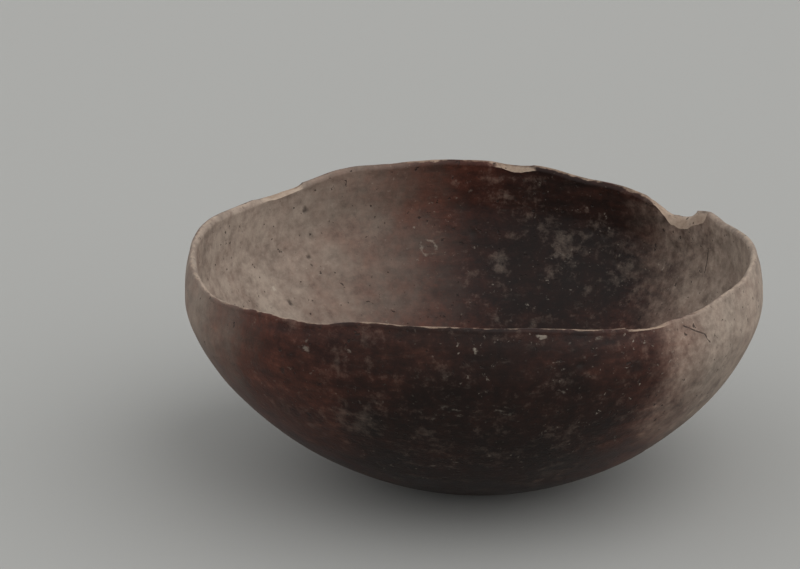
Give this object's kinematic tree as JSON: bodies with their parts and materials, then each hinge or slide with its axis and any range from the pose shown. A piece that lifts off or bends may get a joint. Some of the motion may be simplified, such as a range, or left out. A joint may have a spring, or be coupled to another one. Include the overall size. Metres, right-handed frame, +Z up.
{
  "type": "bowl",
  "caption": "Deep round-bellied burnished red slip earthenware bowl, hand built, with an uneven, chipped lip and a small worn flat to stand on.",
  "frame": {"origin": "centre of the bowl's outline on the surface it stands on", "axes": "+Z up out of the mouth; -Y towards the viewer of the picture, +X to the viewer's right"},
  "size_m": [0.25, 0.25, 0.1068],
  "materials": {
    "bare_clay": "matte",
    "red_slip": "burnished"
  },
  "bodies": {
    "root": {"base_pad": "bare_clay", "wall_coil_1": "bare_clay", "wall_coil_2": "bare_clay", "wall_coil_3": "bare_clay", "wall_coil_4": "bare_clay", "rim_coil": "bare_clay", "outer_slip": "red_slip", "inner_slip": "red_slip"}
  },
  "joints": []
}
